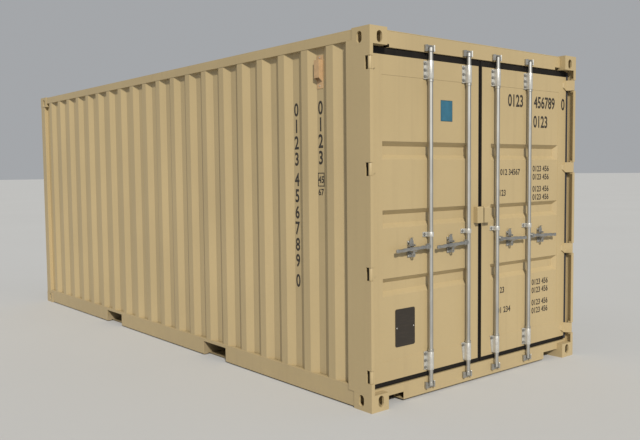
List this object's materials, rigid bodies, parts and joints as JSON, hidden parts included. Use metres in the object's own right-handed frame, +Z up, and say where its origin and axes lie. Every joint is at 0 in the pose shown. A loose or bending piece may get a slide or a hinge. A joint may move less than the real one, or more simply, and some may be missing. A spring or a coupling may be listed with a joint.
{
  "type": "shipping container",
  "caption": "Twenty foot steel freight container with corrugated walls and two swinging end doors that carry turning locking bars, handles and catches.",
  "frame": {"origin": "centre of the footprint on the ground, under the bottom corner fittings", "axes": "+Z up, +Y along the length away from the doors, +X to the right of someone facing the doors"},
  "size_m": [2.438, 6.058, 2.591],
  "materials": {
    "painted_steel": "worn satin paint",
    "galvanised_steel": "galvanised",
    "seal_rubber": "matt",
    "floor_plywood": "varnished",
    "vent_plastic": "matt",
    "plate_metal": "satin"
  },
  "bodies": {
    "container": {"fittings_bottom": "painted_steel", "fittings_top": "painted_steel", "post_door_left": "painted_steel", "post_door_right": "painted_steel", "post_front_left": "painted_steel", "post_front_right": "painted_steel", "door_header": "painted_steel", "door_sill": "painted_steel", "front_header": "painted_steel", "front_sill": "painted_steel", "top_rail_left": "painted_steel", "top_rail_right": "painted_steel", "bottom_rail_left": "painted_steel", "bottom_rail_right": "painted_steel", "side_wall_left": "painted_steel", "side_wall_right": "painted_steel", "front_wall": "painted_steel", "roof_panel": "painted_steel", "floor_boards": "floor_plywood", "cross_members": "painted_steel", "fork_pockets": "painted_steel", "vents": "vent_plastic", "cam_keepers": "galvanised_steel"},
    "door_left": {"door_frame_left": "painted_steel", "door_panel_left": "painted_steel", "door_seal_left": "seal_rubber", "bar_brackets_left": "galvanised_steel", "handle_retainers_left": "galvanised_steel", "lock_box_left": "painted_steel", "data_plate": "plate_metal"},
    "door_right": {"door_frame_right": "painted_steel", "door_panel_right": "painted_steel", "door_seal_right": "seal_rubber", "bar_brackets_right": "galvanised_steel", "handle_retainers_right": "galvanised_steel", "lock_box_right": "painted_steel"},
    "locking_bar_1": {"locking_bar_1": "galvanised_steel"},
    "handle_1": {"handle_1": "galvanised_steel"},
    "catch_1": {"catch_1": "galvanised_steel"},
    "locking_bar_2": {"locking_bar_2": "galvanised_steel"},
    "handle_2": {"handle_2": "galvanised_steel"},
    "catch_2": {"catch_2": "galvanised_steel"},
    "locking_bar_3": {"locking_bar_3": "galvanised_steel"},
    "handle_3": {"handle_3": "galvanised_steel"},
    "catch_3": {"catch_3": "galvanised_steel"},
    "locking_bar_4": {"locking_bar_4": "galvanised_steel"},
    "handle_4": {"handle_4": "galvanised_steel"},
    "catch_4": {"catch_4": "galvanised_steel"}
  },
  "joints": [
    {"name": "door_left_hinge", "type": "hinge", "parent": "container", "child": "door_left", "pos_m": [-1.203, -3.013, 1.297], "axis": [0, 0, -1], "range_deg": [0, 260]},
    {"name": "door_right_hinge", "type": "hinge", "parent": "container", "child": "door_right", "pos_m": [1.203, -3.013, 1.297], "axis": [0, 0, 1], "range_deg": [0, 260]},
    {"name": "bar_1_turn", "type": "hinge", "parent": "door_left", "child": "locking_bar_1", "pos_m": [-0.596, -2.999, 1.293], "axis": [0, 0, -1], "range_deg": [-100, 0]},
    {"name": "handle_1_lift", "type": "hinge", "parent": "locking_bar_1", "child": "handle_1", "pos_m": [-0.634, -3.015, 1.092], "axis": [0, -1, 0], "range_deg": [-12, 0]},
    {"name": "catch_1_flip", "type": "hinge", "parent": "door_left", "child": "catch_1", "pos_m": [-0.781, -2.989, 1.108], "axis": [-1, 0, 0], "range_deg": [-85, 0]},
    {"name": "bar_2_turn", "type": "hinge", "parent": "door_left", "child": "locking_bar_2", "pos_m": [-0.175, -2.999, 1.293], "axis": [0, 0, -1], "range_deg": [-100, 0]},
    {"name": "handle_2_lift", "type": "hinge", "parent": "locking_bar_2", "child": "handle_2", "pos_m": [-0.213, -3.015, 1.092], "axis": [0, -1, 0], "range_deg": [-12, 0]},
    {"name": "catch_2_flip", "type": "hinge", "parent": "door_left", "child": "catch_2", "pos_m": [-0.36, -2.989, 1.108], "axis": [-1, 0, 0], "range_deg": [-85, 0]},
    {"name": "bar_3_turn", "type": "hinge", "parent": "door_right", "child": "locking_bar_3", "pos_m": [0.175, -2.999, 1.293], "axis": [0, 0, 1], "range_deg": [-100, 0]},
    {"name": "handle_3_lift", "type": "hinge", "parent": "locking_bar_3", "child": "handle_3", "pos_m": [0.213, -3.015, 1.092], "axis": [0, 1, 0], "range_deg": [-12, 0]},
    {"name": "catch_3_flip", "type": "hinge", "parent": "door_right", "child": "catch_3", "pos_m": [0.36, -2.989, 1.108], "axis": [-1, 0, 0], "range_deg": [-85, 0]},
    {"name": "bar_4_turn", "type": "hinge", "parent": "door_right", "child": "locking_bar_4", "pos_m": [0.596, -2.999, 1.293], "axis": [0, 0, 1], "range_deg": [-100, 0]},
    {"name": "handle_4_lift", "type": "hinge", "parent": "locking_bar_4", "child": "handle_4", "pos_m": [0.634, -3.015, 1.092], "axis": [0, 1, 0], "range_deg": [-12, 0]},
    {"name": "catch_4_flip", "type": "hinge", "parent": "door_right", "child": "catch_4", "pos_m": [0.781, -2.989, 1.108], "axis": [-1, 0, 0], "range_deg": [-85, 0]}
  ]
}
